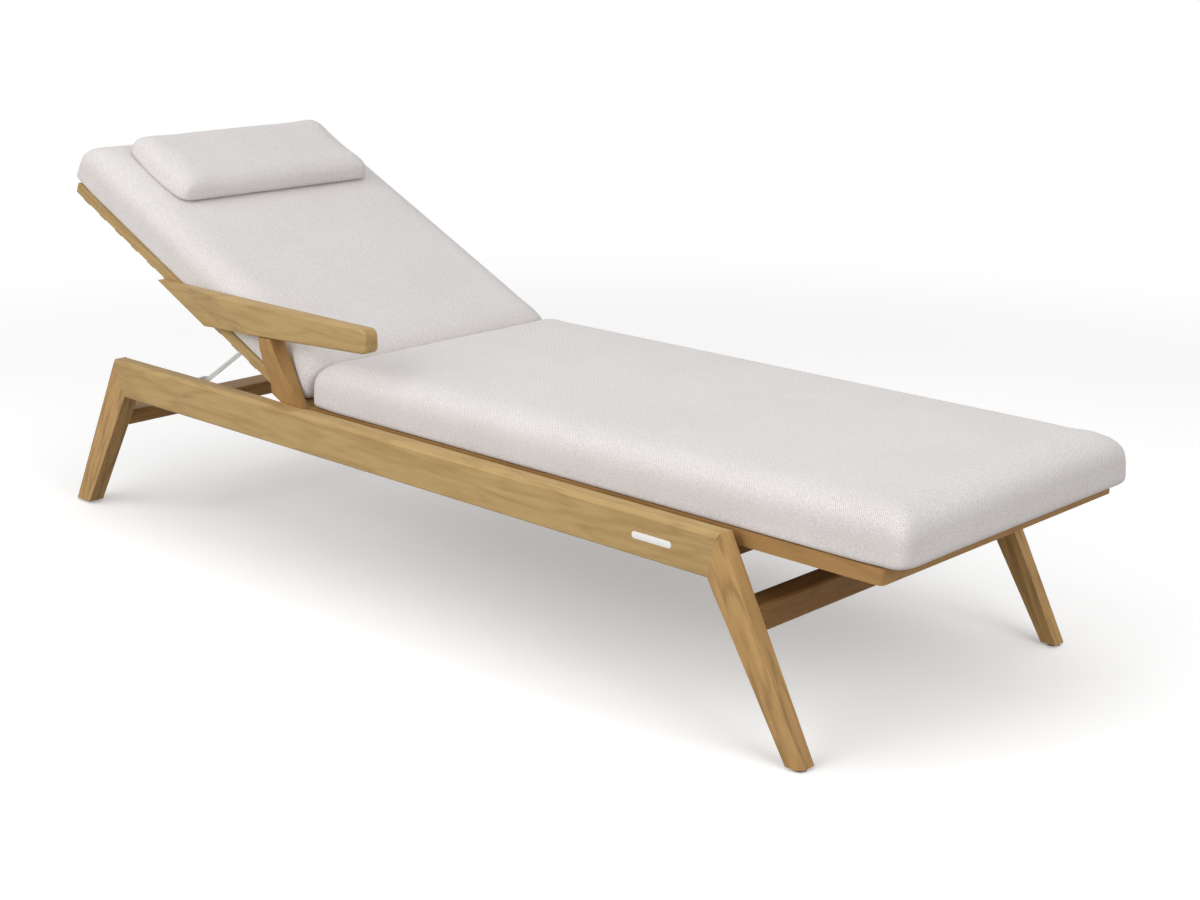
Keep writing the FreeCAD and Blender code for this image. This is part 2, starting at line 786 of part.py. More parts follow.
# Prop: one round rod bent six times, feet outwards
prop = new_body("prop_rod", size["hinge_x"] - prop_x, 0.0, prop_z, -size["prop_angle"])
spine = new_sketch(prop, "XY_Plane")
draw_rounded_path(spine, [
    (-size["prop_length"], -half_foot),
    (-size["prop_length"], -half_arm),
    (as_size(0.0), -half_arm),
    (as_size(0.0), half_arm),
    (-size["prop_length"], half_arm),
    (-size["prop_length"], half_foot),
], size["prop_bend"], closed=False)
section = new_sketch(prop, "XZ_Plane", half_foot)
draw_circle(section, -size["prop_length"], 0.0, prop_radius)
doc.recompute()
rod = prop.newObject("PartDesign::AdditivePipe", "prop_rod_pipe")
rod.Profile = section
rod.Spine = (spine, [f"Edge{place}" for place in range(1, len(spine.Shape.Edges) + 1)])
prop.Tip = rod


def cushion(body, levels):
    """A soft block lofted through rounded outlines, each at its height."""
    outlines = []
    for z, x_low, x_high, half, corner in levels:
        outline = new_sketch(body, "XY_Plane", z)
        draw_rounded_path(outline, [(x_low, -half), (x_high, -half), (x_high, half), (x_low, half)],
                          corner, closed=True)
        outlines.append(outline)
    soft = body.newObject("PartDesign::AdditiveLoft", f"{body.Name}_loft")
    soft.Profile = outlines[0]
    soft.Sections = [(outline, [""]) for outline in outlines[1:]]
    soft.Ruled = True
    body.Tip = soft


def cushion_levels(bottom, x_low, x_high):
    """Outlines of a large cushion, from its hem to its crown."""
    height = size["cushion_height"]
    half = half_cushion
    corner = size["cushion_corner"]
    rows = (
        (0.0, size["cushion_foot_inset"]),
        (0.14, size["cushion_side_inset"]),
        (0.42, as_size(0.0)),
        (0.68, size["cushion_side_inset"]),
        (0.87, size["cushion_shoulder_inset"]),
        (1.0, size["cushion_top_inset"]),
    )
    levels = []
    for share, inset in rows:
        levels.append((bottom + height * share, x_low + inset, x_high - inset, half - inset, corner))
    crown = size["cushion_crown_inset"]
    levels.append((bottom + height + size["cushion_crown"], x_low + crown, x_high - crown, half - crown, corner))
    return levels


seat_cushion = base_body("seat_cushion")
cushion(seat_cushion, cushion_levels(size["seat_top"], size["seat_cushion_from"],
                                     size["seat_cushion_to"]))

back_cushion = back_body("back_cushion")
cushion(back_cushion, cushion_levels(back_half, -size["back_length"] - size["back_cushion_overhang"],
                                     -size["back_cushion_from"]))

headrest = back_body("headrest_cushion")
headrest_bottom = back_half + size["cushion_height"] + size["cushion_crown"]
headrest_low = size["headrest_setback"] - size["back_length"]
headrest_levels = []
for share, inset in ((0.0, size["headrest_foot_inset"]), (0.2, size["headrest_side_inset"]),
                     (0.45, as_size(0.0)), (0.7, size["headrest_side_inset"]),
                     (0.88, size["headrest_shoulder_inset"]), (1.0, size["headrest_top_inset"])):
    headrest_levels.append((
        headrest_bottom + size["headrest_height"] * share,
        headrest_low + inset,
        headrest_low + size["headrest_length"] - inset,
        half_cushion - size["headrest_margin"] - inset,
        size["headrest_corner"],
    ))
cushion(headrest, headrest_levels)

# Build, check and write
doc.recompute()
for item in doc.Objects:
    if "Invalid" in item.State or "Error" in item.State:
        raise RuntimeError(f"{item.Label} did not build: {item.State}")
for body in nodes:
    shape = body.Shape
    if shape.isNull() or not shape.isValid() or not shape.Solids:
        raise RuntimeError(f"{body.Label} has no valid solid")
os.makedirs("parts", exist_ok=True)
for body in nodes:
    body.Shape.exportStep(f"parts/{body.Label}.step")
    box = body.Shape.BoundBox
    print(f"{body.Label}: {len(body.Shape.Solids)} solids, {body.Shape.Volume / 1000:.1f} cm3, "
          f"x {box.XMin:.1f} to {box.XMax:.1f}, y {box.YMin:.1f} to {box.YMax:.1f}, "
          f"z {box.ZMin:.1f} to {box.ZMax:.1f}")
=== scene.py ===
import json
import math

import bpy
from bpy.props import FloatProperty, FloatVectorProperty, IntProperty, PointerProperty
from mathutils import Matrix, Vector


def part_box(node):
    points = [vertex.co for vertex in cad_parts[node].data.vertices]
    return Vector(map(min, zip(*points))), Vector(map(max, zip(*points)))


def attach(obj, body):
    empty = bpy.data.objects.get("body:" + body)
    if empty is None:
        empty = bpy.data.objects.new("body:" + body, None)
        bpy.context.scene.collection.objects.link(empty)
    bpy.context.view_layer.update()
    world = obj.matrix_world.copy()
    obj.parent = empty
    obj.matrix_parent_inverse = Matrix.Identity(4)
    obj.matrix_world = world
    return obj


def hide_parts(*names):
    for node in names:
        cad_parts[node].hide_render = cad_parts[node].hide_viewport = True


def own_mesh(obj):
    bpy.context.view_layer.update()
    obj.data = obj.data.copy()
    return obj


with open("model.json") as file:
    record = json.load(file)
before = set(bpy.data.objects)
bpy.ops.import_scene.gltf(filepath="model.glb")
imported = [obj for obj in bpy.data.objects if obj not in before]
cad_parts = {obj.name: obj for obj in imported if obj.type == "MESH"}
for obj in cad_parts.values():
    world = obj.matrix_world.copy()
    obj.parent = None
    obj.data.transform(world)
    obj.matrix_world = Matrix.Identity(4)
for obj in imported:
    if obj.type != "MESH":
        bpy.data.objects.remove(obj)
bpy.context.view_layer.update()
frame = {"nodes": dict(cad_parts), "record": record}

bl_info = {
    "name": "Sun lounger",
    "version": (1, 0, 0),
    "blender": (4, 5, 0),
    "location": "View3D > Sidebar > Lounger",
    "description": "Teak finishes, cushions and stage for a sun lounger",
    "category": "Object",
}

HINGE = Vector(frame["record"]["behaviour"]["joints"][0]["pos_m"])

WHITE = (1.0, 1.0, 1.0, 1.0)
BLACK = (0.0, 0.0, 0.0, 1.0)
UNTINTED = (1.0, 1.0, 1.0)

# Distance in metres within which two places count as the same
TOUCH = 1e-4

# Wooden pieces by the run of their grain
LENGTHWISE = ("side_rail_right", "side_rail_left", "prop_rack_right", "prop_rack_left",
              "seat_side_rail_right", "seat_side_rail_left", "armrest")
CROSSWISE = ("front_stretcher", "rear_cross_rail", "seat_bearers", "seat_head_rail",
             "seat_foot_rail", "seat_slats", "back_head_rail", "back_foot_rail", "back_slats")
FRONT_LEGS = ("front_leg_right", "front_leg_left")
REAR_LEGS = ("rear_leg_right", "rear_leg_left")
BACK_RAILS = ("back_side_rail_right", "back_side_rail_left")

# Wooden pieces by their tone, and the pieces darkened with painted shade
WARM = (*FRONT_LEGS, *REAR_LEGS)
DEEP = ("arm_post", "seat_side_rail_right", "seat_side_rail_left", "seat_foot_rail", "rear_cross_rail")
# Pieces darkened with painted shade, for the shade under the seat and under the back's rails
PAINTED_SHADE_PIECES = ("front_stretcher", "seat_bearers", "back_slats")

STEEL = ("prop_rod", "prop_brackets", "hinge_pins")

# Step of the grain from one board to the next, in metres
BOARD_STEP = (0.37, 0.053, 0.029)

# Largest shares of a cushion's height that its shoulder and end hem take
SHOULDER_SHARE = 0.45
END_HEM_SHARE = 0.3

# Least share of the easing, along the lower edges
LEAST_EASE = 0.2

# How the covers are filled
FILL_FRAMES = 20
FILL_QUALITY = 4
FILL_PRESSURE = 4.0
HELD_HEIGHT = 0.002

# Name, width and place of each lamp, and the point that they all face, in metres
LAMPS = (
    ("key", 3.0, (-1.6, -3.2, 3.0)),
    ("top", 4.0, (0.3, 0.4, 3.6)),
    ("foot", 2.0, (3.6, -0.6, 2.0)),
    ("near", 2.4, (0.2, -3.6, 1.6)),
)
LAMP_AIM = (0.0, 0.0, 0.3)

# Floor, with the distances between which it fades to white, in metres
FLOOR_WIDTH = 60.0
FLOOR_DROP = 0.0005
FADE_START = 1.6
FADE_END = 3.4

# Width of the camera's sensor in millimetres
SENSOR_WIDTH = 36.0


# Settings that a user would change


class LoungerTimber(bpy.types.PropertyGroup):
    """Colours and grain of the teak"""

    light: FloatVectorProperty(
        name="Light wood", description="Colour between the grain lines", subtype="COLOR",
        default=(0.487, 0.336, 0.145))
    dark: FloatVectorProperty(
        name="Dark wood", description="Colour of the grain lines", subtype="COLOR",
        default=(0.366, 0.237, 0.095))
    warm: FloatVectorProperty(
        name="Warm boards", description="Tint of the legs", subtype="COLOR",
        default=(1.13, 1.0, 0.93))
    deep: FloatVectorProperty(
        name="Deep boards", description="Tint of the post, the seat frame and the rear cross rail",
        subtype="COLOR", default=(0.84, 0.695, 0.59))
    # Painted shade: darkens the stretcher, the bearers and the back's slats, which sit in shade
    painted_shade_tint: FloatVectorProperty(
        name="Dark boards", description="Tint of the stretcher, the bearers and the back's slats",
        subtype="COLOR", default=(0.54, 0.40, 0.27))
    contrast: FloatProperty(
        name="Leg grain", description="Share of the grain lines' colour that the legs' own lines keep",
        subtype="FACTOR", default=0.72)
    front_slope: FloatProperty(
        name="Front leg slope", description="Lean of the front legs' grain from the horizontal",
        subtype="ANGLE", default=math.radians(64.0))
    rear_slope: FloatProperty(
        name="Rear leg slope", description="Lean of the rear legs' grain from the horizontal",
        subtype="ANGLE", default=math.radians(-60.0))
    post_slope: FloatProperty(
        name="Arm post slope", description="Lean of the arm post's grain from the horizontal",
        subtype="ANGLE", default=math.radians(62.0))


class LoungerPlate(bpy.types.PropertyGroup):
    """Size and place of the bare plate on the right side rail"""

    start: FloatProperty(
        name="Start", description="Distance of the plate from the hinge, along the rail",
        subtype="DISTANCE", unit="LENGTH", default=0.846)
    length: FloatProperty(
        name="Length", description="Length along the rail", subtype="DISTANCE", unit="LENGTH",
        default=0.078)
    bottom: FloatProperty(
        name="Bottom", description="Height of the plate's lower edge above the floor",
        subtype="DISTANCE", unit="LENGTH", default=0.2765)
    height: FloatProperty(
        name="Height", description="Height of the plate itself", subtype="DISTANCE", unit="LENGTH",
        default=0.011)
    proud: FloatProperty(
        name="Proud", description="How far the plate stands out of the rail", subtype="DISTANCE",
        unit="LENGTH", default=0.0008)
    sunk: FloatProperty(
        name="Sunk", description="How deep the plate is let into the rail", subtype="DISTANCE",
        unit="LENGTH", default=0.0004)
    corner: FloatProperty(
        name="Corner radius", description="Rounding of the plate's ends", subtype="DISTANCE",
        unit="LENGTH", default=0.0052)
    edge: FloatProperty(
        name="Edge radius", description="Rounding along the plate's outer edge", subtype="DISTANCE",
        unit="LENGTH", default=0.0003)


class LoungerCushions(bpy.types.PropertyGroup):
    """Form and cloth of the cushions"""

    back_angle: FloatProperty(
        name="Back angle", description="Lean of the back above the horizontal at rest",
        subtype="ANGLE", default=math.radians(25.0))
    cloth: FloatVectorProperty(
        name="Cloth", description="Colour of the woven covers", subtype="COLOR",
        default=(0.755, 0.728, 0.736))
    thread: FloatVectorProperty(
        name="Thread shade", description="Colour between the threads", subtype="COLOR",
        default=(0.47, 0.425, 0.37))
    pitch: FloatProperty(
        name="Weave pitch", description="Distance between threads", subtype="DISTANCE",
        unit="LENGTH", default=0.0034)
    corner: FloatProperty(
        name="Corner radius", description="Rounding of the cushions in plan", subtype="DISTANCE",
        unit="LENGTH", default=0.021)
    shoulder: FloatProperty(
        name="Shoulder radius", description="Rounding along the upper edges", subtype="DISTANCE",
        unit="LENGTH", default=0.038)
    hem: FloatProperty(
        name="Hem radius", description="Rounding along the lower side edges", subtype="DISTANCE",
        unit="LENGTH", default=0.004)
    end_hem: FloatProperty(
        name="End hem radius", description="Rounding along the lower edges at the ends",
        subtype="DISTANCE", unit="LENGTH", default=0.018)
    end_ease: FloatProperty(
        name="End easing", description="Length at each end over which the lower edges are eased too",
        subtype="DISTANCE", unit="LENGTH", default=0.09)
    puff: FloatProperty(
        name="Puff", description="Furthest that the filling swells a cover", subtype="DISTANCE",
        unit="LENGTH", default=0.005)
    voxel: FloatProperty(
        name="Cloth grid", description="Size of the cloth's mesh", subtype="DISTANCE",
        unit="LENGTH", default=0.006)
    seat_reach: FloatProperty(
        name="Seat reach", description="How far the seat cushion bulges towards the back",
        subtype="DISTANCE", unit="LENGTH", default=0.019)
    back_reach: FloatProperty(
        name="Back reach", description="How far the back cushion bulges towards the seat",
        subtype="DISTANCE", unit="LENGTH", default=0.007)
    give: FloatProperty(
        name="Give", description="Share of a bulge that is pressed back when the back is moved fully",
        default=1.1)
    softness: IntProperty(
        name="Softness", description="How many times the cover's edges are eased", default=21)


class LoungerStage(bpy.types.PropertyGroup):
    """Camera, lamps and floor"""

    lens: FloatProperty(
        name="Lens", description="Focal length", subtype="DISTANCE_CAMERA", unit="CAMERA",
        default=59.35)
    eye: FloatVectorProperty(
        name="Eye", description="Where the camera stands", subtype="TRANSLATION",
        default=(HINGE.x + 2.7398, -2.3759, 1.2021))
    aim: FloatVectorProperty(
        name="Aim", description="What the camera looks at", subtype="TRANSLATION",
        default=(HINGE.x + 0.4370, 0.0053, 0.2566))
    key: FloatProperty(
        name="Key lamp", description="Strength of the large lamp beside the head end",
        unit="POWER", default=54.0)
    top: FloatProperty(
        name="Top lamp", description="Strength of the lamp above", unit="POWER", default=42.0)
    foot: FloatProperty(
        name="Foot lamp", description="Strength of the lamp at the foot end", unit="POWER",
        default=42.0)
    near: FloatProperty(
        name="Near lamp", description="Strength of the lamp on the right side", unit="POWER",
        default=52.0)
    sky: FloatProperty(
        name="Room light", description="Strength of the even light", default=0.38)
    glow: FloatProperty(
        name="Floor glow", description="Lift of the floor where it is seen", default=0.25)
    floor: FloatVectorProperty(
        name="Floor", description="Colour of the floor", subtype="COLOR", default=(0.92, 0.92, 0.92))
    bounce: FloatVectorProperty(
        name="Bounce", description="Colour that the floor throws back", subtype="COLOR",
        default=(0.36, 0.34, 0.31))


# Shader writing


class Value:
    """A shader socket; arithmetic on it adds Math nodes."""

    def __init__(self, finish, socket):
        self.finish = finish
        self.socket = socket

    def math(self, operation, first, second=None):
        values = {0: first} if second is None else {0: first, 1: second}
        return self.finish.node("ShaderNodeMath", {"operation": operation}, values)

    def __add__(self, other):
        return self.math("ADD", self, other)

    def __sub__(self, other):
        return self.math("SUBTRACT", self, other)

    def __rsub__(self, other):
        return self.math("SUBTRACT", other, self)

    def __mul__(self, other):
        return self.math("MULTIPLY", self, other)

    def __pow__(self, other):
        return self.math("POWER", self, other)

    def __rpow__(self, other):
        return self.math("POWER", other, self)

    __radd__ = __add__
    __rmul__ = __mul__

    def sine(self):
        return self.math("SINE", self)

    def beside(self, output):
        """Another output of the same node."""
        return Value(self.finish, self.socket.node.outputs[output])


class Finish:
    """The nodes of a material or a world, with its main shader and one way to add nodes."""

    def __init__(self, owner, shader):
        owner.use_nodes = True
        self.owner = owner
        self.tree = owner.node_tree
        self.shader = next(node for node in self.tree.nodes if node.type == shader)

    def connect(self, socket, value):
        if isinstance(value, Value):
            self.tree.links.new(value.socket, socket)
        else:
            socket.default_value = value

    def node(self, kind, settings=None, sockets=None, output=0):
        made = self.tree.nodes.new(kind)
        for key, value in (settings or {}).items():
            if key == "stops":
                ramp = made.color_ramp
                while len(ramp.elements) < len(value):
                    ramp.elements.new(0.5)
                for element, (place, colour) in zip(ramp.elements, value):
                    element.position = place
                    element.color = (*colour, 1.0)
            else:
                setattr(made, key, value)
        for key, value in (sockets or {}).items():
            self.connect(made.inputs[key], value)
        return Value(self, made.outputs[output])

    def place(self, turn=(0.0, 0.0, 0.0), shift=(0.0, 0.0, 0.0)):
        """Object coordinates, turned and shifted."""
        where = self.node("ShaderNodeTexCoord", output="Object")
        return self.node("ShaderNodeMapping", {"vector_type": "POINT"},
                         {"Vector": where, "Location": shift, "Rotation": turn})

    def noise(self, vector, waves, detail, rough=0.55):
        """Noise with a number of waves per metre along each axis."""
        stretched = self.node("ShaderNodeVectorMath", {"operation": "MULTIPLY"}, {0: vector, 1: waves})
        return self.node("ShaderNodeTexNoise", {}, {
            "Vector": stretched, "Scale": 1.0, "Detail": detail, "Roughness": rough})

    def even_noise(self, vector, waves, detail):
        return self.noise(vector, (waves, waves, waves), detail)

    def ramp(self, factor, *stops):
        return self.node("ShaderNodeValToRGB", {"stops": stops}, {0: factor})

    def mix(self, factor, first, second):
        return self.node("ShaderNodeMix", {"data_type": "RGBA"}, {0: factor, 6: first, 7: second}, output=2)

    def bump(self, height, strength, distance):
        return self.node("ShaderNodeBump", {},
                         {"Height": height, "Strength": strength, "Distance": distance})

    def background_rays(self):
        """1 for what the camera sees, straight, reflected or through a piece, else 0."""
        camera = self.node("ShaderNodeLightPath", output="Is Camera Ray")
        reflected = camera.math("MAXIMUM", camera, camera.beside("Is Glossy Ray"))
        return camera.math("MAXIMUM", reflected, camera.beside("Is Transmission Ray"))

    def set(self, **values):
        for key, value in values.items():
            self.connect(self.shader.inputs[key.replace("_", " ")], value)
        return self.owner

    def blend(self, factor, other):
        """Show another shader in place of the main one, by a factor."""
        lit = Value(self, self.shader.outputs[0])
        both = self.node("ShaderNodeMixShader", {}, {0: factor, 1: lit, 2: other})
        output = next(node for node in self.tree.nodes if node.type.startswith("OUTPUT"))
        self.connect(output.inputs["Surface"], both)


def new_material(name):
    return Finish(bpy.data.materials.new(name), "BSDF_PRINCIPLED")


def teak(name, turn, seed, tone, lines):
    """Oiled teak with its grain along the turned X axis, tinted by the tones of its board and lines; for
    the shaded pieces that tint is painted shade.
    """
    sizes = bpy.context.scene.lounger_timber
    light = [share * part for share, part in zip(tone, sizes.light)]
    dark = [share * lines * part for share, part in zip(tone, sizes.dark)]
    between = [0.6 * first + 0.4 * second for first, second in zip(light, dark)]
    finish = new_material(f"teak_{name}")
    where = finish.place(turn=turn, shift=[step * seed for step in BOARD_STEP])
    drift = finish.noise(where, (2.4, 16.0, 16.0), detail=2.0)
    streak = finish.noise(where, (5.0, 120.0, 120.0), detail=5.0, rough=0.62)
    fibre = finish.noise(where, (36.0, 700.0, 700.0), detail=2.0)
    figure = finish.noise(where, (13.0, 72.0, 72.0), detail=4.0, rough=0.6)
    rings = ((drift * 46.0 + streak * 5.0).sine() * 0.5 + 0.5) ** 2.0
    depth = rings * 0.16 + streak * 0.52 + fibre * 0.30 + figure * 0.40
    colour = finish.ramp(depth, (0.46, light), (0.66, between), (0.86, dark))
    relief = 1.0 - (fibre * 0.7 + rings * 0.3)
    return finish.set(Base_Color=colour, Roughness=0.46 + fibre * 0.16,
                      Normal=finish.bump(relief, 0.22, 0.0006), Specular_IOR_Level=0.22)


def woven_cloth():
    """Fine woven outdoor cloth, its threads along the cushion's own axes."""
    sizes = bpy.context.scene.lounger_cushions
    bright = [min(1.0, 1.06 * part) for part in sizes.cloth]
    count = 2.0 * math.pi / sizes.pitch
    finish = new_material("woven_cloth")
    laid = finish.node("ShaderNodeUVMap")
    across = finish.node("ShaderNodeSeparateXYZ", {}, {0: laid}, output="X")
    along = across.beside("Y")
    where = finish.place()
    wobble = finish.even_noise(where, 38.0, detail=2.0)
    warp = (across * count + wobble * 3.0).sine()
    weft = (along * count + wobble * 3.0).sine()
    weave = warp * weft * 0.5 + 0.5
    slub = finish.even_noise(where, 330.0, detail=3.0)
    cloud = finish.even_noise(where, 6.0, detail=3.0)
    shade = weave * 0.5 + slub * 0.5 + (cloud - 0.5) * 0.12
    colour = finish.ramp(shade, (0.26, sizes.thread), (0.56, sizes.cloth), (0.84, bright))
    return finish.set(Base_Color=colour, Roughness=0.86 + slub * 0.1,
                      Normal=finish.bump(weave * 0.6 + slub * 0.8, 0.30, 0.0008),
                      Sheen_Weight=0.25, Sheen_Roughness=0.5, Specular_IOR_Level=0.2)


def satin_steel():
    """Brushed steel, slightly uneven in its tone."""
    finish = new_material("satin_steel")
    where = finish.place()
    brushed = finish.noise(where, (900.0, 60.0, 900.0), detail=2.0)
    dulled = finish.even_noise(where, 18.0, detail=3.0)
    colour = finish.ramp(dulled, (0.3, (0.86, 0.86, 0.85)), (0.7, (0.95, 0.95, 0.94)))
    return finish.set(Base_Color=colour, Metallic=0.5, Roughness=0.30 + brushed * 0.2,
                      Normal=finish.bump(brushed, 0.08, 0.0003))


def speckled(name, waves, dark, light, rough, spread, strength, distance):
    """A plain finish with a fine speckle in its colour, its gloss and its surface."""
    finish = new_material(name)
    speckle = finish.even_noise(finish.place(), waves, detail=2.0)
    colour = finish.ramp(speckle, (0.3, dark), (0.7, light))
    return finish.set(Base_Color=colour, Roughness=rough + speckle * spread,
                      Normal=finish.bump(speckle, strength, distance))


def black_plastic():
    return speckled("black_plastic", 700.0, dark=(0.016, 0.016, 0.016), light=(0.035, 0.034, 0.033),
                    rough=0.5, spread=0.2, strength=0.2, distance=0.0004)


def pale_enamel():
    return speckled("pale_enamel", 500.0, dark=(0.80, 0.80, 0.79), light=(0.86, 0.86, 0.85),
                    rough=0.32, spread=0.1, strength=0.05, distance=0.0002)


# Modelling by hand


def clear_selection():
    if bpy.context.object and bpy.context.object.mode != "OBJECT":
        bpy.ops.object.mode_set(mode="OBJECT")
    bpy.ops.object.select_all(action="DESELECT")


def select_only(piece):
    clear_selection()
    piece.select_set(True)
    bpy.context.view_layer.objects.active = piece


def start_block(name, low, high):
    """A new block between two corners, left in edit mode with nothing selected."""
    clear_selection()
    bpy.ops.mesh.primitive_cube_add(size=1.0)
    block = bpy.context.object
    block.name = name
    block.data.name = name
    bpy.ops.object.mode_set(mode="EDIT")
    bpy.ops.transform.resize(value=high - low)
    bpy.ops.transform.translate(value=(low + high) / 2)
    bpy.ops.mesh.select_all(action="DESELECT")
    return block


def pick_edges(block, test):
    """Select the edges whose two ends pass a test."""
    bpy.ops.mesh.select_mode(type="EDGE")
    bpy.ops.mesh.select_all(action="DESELECT")
    bpy.ops.object.mode_set(mode="OBJECT")
    points = block.data.vertices
    for edge in block.data.edges:
        edge.select = test(*(points[end].co for end in edge.vertices))
    bpy.ops.object.mode_set(mode="EDIT")


def round_edges(block, test, radius, segments):
    pick_edges(block, test)
    bpy.ops.mesh.bevel(offset=radius, offset_type="OFFSET", segments=segments, profile=0.5, affect="EDGES")


def apply_modifier(piece, modifier):
    select_only(piece)
    bpy.ops.object.modifier_apply(modifier=modifier.name)


def round_cushion(block, low, high, sizes):
    """Round a cushion's shoulders, then its corners, then its hems."""
    height = high.z - low.z

    def upper(first, second):
        return min(first.z, second.z) > high.z - TOUCH

    def upright(first, second):
        return abs(first.z - second.z) > TOUCH

    def lower(first, second):
        return max(first.z, second.z) < low.z + TOUCH

    def lower_end(first, second):
        return lower(first, second) and abs(first.x - second.x) < TOUCH

    round_edges(block, upper, min(sizes.shoulder, SHOULDER_SHARE * height), 6)
    round_edges(block, upright, sizes.corner, 4)
    round_edges(block, lower_end, min(sizes.end_hem, END_HEM_SHARE * height), 4)
    round_edges(block, lower, sizes.hem, 2)
    bpy.ops.object.mode_set(mode="OBJECT")


def lay_grid(piece, size):
    """Give a cover the even mesh of a cloth."""
    grid = piece.modifiers.new("grid", "REMESH")
    grid.mode = "VOXEL"
    grid.voxel_size = size
    apply_modifier(piece, grid)


def swell(piece, rest_height, puff):
    """Fill the cover with pressure, keeping its underside on what it rests on."""
    scene = bpy.context.scene
    points = piece.data.vertices
    still = [point.co.copy() for point in points]
    held = piece.vertex_groups.new(name="held")
    held.add([point.index for point in points if point.co.z < rest_height + HELD_HEIGHT], 1.0, "ADD")
    cloth = piece.modifiers.new("filling", "CLOTH")
    cloth.settings.quality = FILL_QUALITY
    cloth.settings.use_pressure = True
    cloth.settings.uniform_pressure_force = FILL_PRESSURE
    cloth.settings.effector_weights.gravity = 0.0
    cloth.settings.vertex_group_mass = held.name
    cloth.collision_settings.use_collision = False
    cloth.point_cache.frame_start = 1
    cloth.point_cache.frame_end = FILL_FRAMES
    for number in range(1, FILL_FRAMES + 1):
        scene.frame_set(number)
    apply_modifier(piece, cloth)
    for point, before in zip(piece.data.vertices, still):
        move = point.co - before
        if move.length > 0.0:
            point.co = before + move * (puff * math.tanh(move.length / puff) / move.length)
    scene.frame_set(1)
    piece.vertex_groups.clear()


def soften(piece, low, high, sizes):
    """Ease a cover's edges, fully at its ends and shoulders and little along its sides' hems."""
    ease = piece.vertex_groups.new(name="ease")
    for point in piece.data.vertices:
        raised = (point.co.z - low.z) / sizes.shoulder
        from_end = min(point.co.x - low.x, high.x - point.co.x)
        share = max(raised, 1.0 - from_end / sizes.end_ease)
        ease.add([point.index], min(1.0, max(LEAST_EASE, share)), "REPLACE")
    smooth = piece.modifiers.new("soften", "SMOOTH")
    smooth.factor = 0.5
    smooth.iterations = sizes.softness
    smooth.vertex_group = ease.name
    apply_modifier(piece, smooth)
    piece.vertex_groups.clear()


def fit_to(piece, low, high):
    """Stretch a piece so that it fills the room between two corners."""
    points = piece.data.vertices
    for axis in range(3):
        least = min(point.co[axis] for point in points)
        most = max(point.co[axis] for point in points)
        share = (high[axis] - low[axis]) / (most - least)
        for point in points:
            point.co[axis] = low[axis] + (point.co[axis] - least) * share


def unwrap(piece):
    """Lay out the cloth in metres, each face seen along the axis that it faces most."""
    select_only(piece)
    bpy.ops.object.mode_set(mode="EDIT")
    bpy.ops.mesh.select_all(action="SELECT")
    bpy.ops.uv.cube_project(cube_size=1.0, correct_aspect=False)
    bpy.ops.object.mode_set(mode="OBJECT")


def cushion(name, body, low, high, lean, sizes):
    """A boxy cushion in its own axes; lean turns it about the hinge of the back."""
    block = start_block(name, low, high)
    round_cushion(block, low, high, sizes)
    lay_grid(block, sizes.voxel)
    swell(block, low.z, sizes.puff)
    soften(block, low, high, sizes)
    fit_to(block, low, high)
    unwrap(block)
    if lean:
        block.data.transform(Matrix.Translation(HINGE) @ Matrix.Rotation(lean, 4, "Y"))
    block.data.shade_smooth()
    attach(block, body)
    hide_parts(name)
    block.name = f"{name}_cover"
    return block


def own_frame_box(name, lean):
    """Corners of a cushion's solid in the cushion's own axes."""
    node = frame["nodes"][name]
    back = Matrix.Rotation(-lean, 4, "Y") @ Matrix.Translation(-HINGE) if lean else Matrix.Identity(4)
    points = [back @ point.co for point in node.data.vertices]
    low = Vector(min(point[axis] for point in points) for axis in range(3))
    high = Vector(max(point[axis] for point in points) for axis in range(3))
    return low, high


def dress(names, material):
    for name in names:
        node = frame["nodes"][name]
        node.data.materials.clear()
        node.data.materials.append(material)


# Stage


def facing(place, target):
    """Turn of a lamp or camera at a place that faces a target."""
    return (Vector(target) - Vector(place)).to_track_quat("-Z", "Y").to_euler()


def lay_floor(sizes):
    """A pale floor that keeps the shadow and fades to white further out."""
    clear_selection()
    bpy.ops.mesh.primitive_plane_add(size=FLOOR_WIDTH, location=(0.0, 0.0, -FLOOR_DROP))
    floor = bpy.context.object
    floor.name = "floor"
    finish = new_material("pale_floor")
    away = finish.node("ShaderNodeVectorMath", {"operation": "LENGTH"}, {0: finish.place()}, output="Value")
    fade = finish.node("ShaderNodeMapRange", {"interpolation_type": "SMOOTHSTEP"},
                       {"Value": away, "From Min": FADE_START, "From Max": FADE_END})
    seen = finish.background_rays()
    tint = finish.mix(seen, (*sizes.bounce, 1.0), (*sizes.floor, 1.0))
    lift = finish.mix(seen, BLACK, WHITE)
    floor.data.materials.append(finish.set(
        Base_Color=tint, Roughness=0.9, Emission_Color=lift, Emission_Strength=sizes.glow))
    white = finish.node("ShaderNodeEmission", {}, {"Color": WHITE, "Strength": 1.0})
    finish.blend(fade * seen, white)


def hang_lamps(sizes):
    for name, width, place in LAMPS:
        bpy.ops.object.light_add(type="AREA", location=place)
        lamp = bpy.context.object
        lamp.name = f"{name}_lamp"
        lamp.data.energy = getattr(sizes, name)
        lamp.data.size = width
        lamp.rotation_euler = facing(place, LAMP_AIM)


def light_room(sizes):
    """Even light from all round, and a white that only the camera and reflections see."""
    room = Finish(bpy.data.worlds.new("even_room"), "BACKGROUND")
    white = room.node("ShaderNodeBackground", {}, {"Color": WHITE, "Strength": 1.0})
    room.blend(room.background_rays(), white)
    bpy.context.scene.world = room.set(Color=WHITE, Strength=sizes.sky)


def set_camera(sizes):
    bpy.ops.object.camera_add(location=sizes.eye)
    camera = bpy.context.object
    camera.name = "camera"
    camera.data.lens = sizes.lens
    camera.data.sensor_width = SENSOR_WIDTH
    camera.rotation_euler = facing(sizes.eye, sizes.aim)
    bpy.context.scene.camera = camera


# Operators


